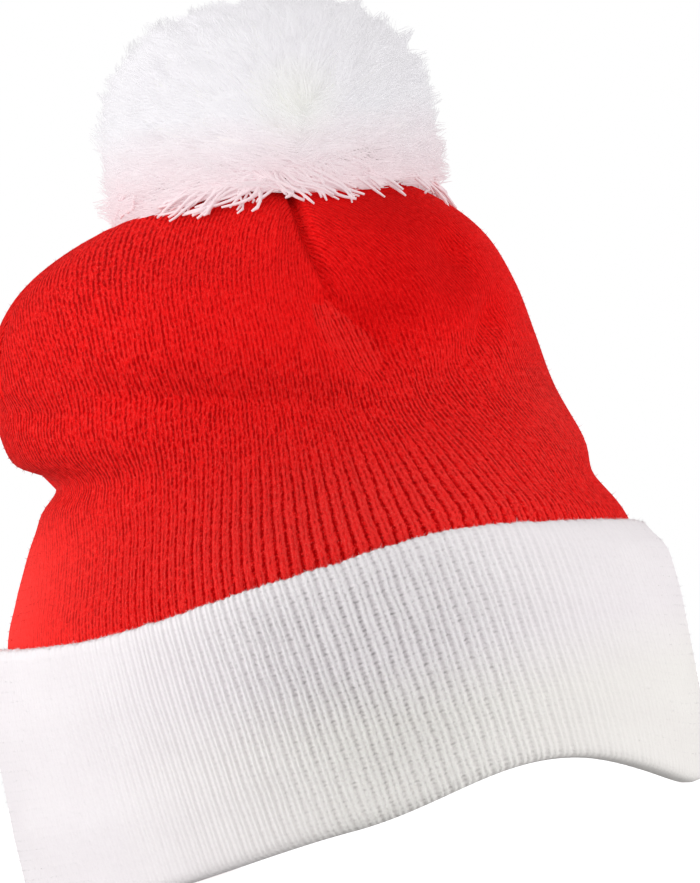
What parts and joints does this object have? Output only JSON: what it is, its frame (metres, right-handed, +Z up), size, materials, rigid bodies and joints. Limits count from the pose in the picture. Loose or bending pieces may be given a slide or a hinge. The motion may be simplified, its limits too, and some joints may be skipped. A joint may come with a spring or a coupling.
{
  "type": "knitted santa hat",
  "caption": "Soft rib-knit bobble hat in santa colours: a red crown slumped into folds, a white turned-up cuff and a white yarn pompom, standing on its rim and open for a head.",
  "frame": {"origin": "on the surface the hat stands on, under the middle of its rim", "axes": "+Z up through the crown, front towards -Y, the pompom leans to +X"},
  "size_m": [0.202, 0.193, 0.2476],
  "materials": {
    "crown_knit": "matte red acrylic rib knit with a soft nap",
    "cuff_knit": "matte white acrylic rib knit with a soft nap",
    "pompom_yarn": "cut white acrylic yarn, fluffed at the ends"
  },
  "bodies": {
    "root": {"crown": "crown_knit", "cuff": "cuff_knit", "pompom": "pompom_yarn"}
  },
  "joints": []
}
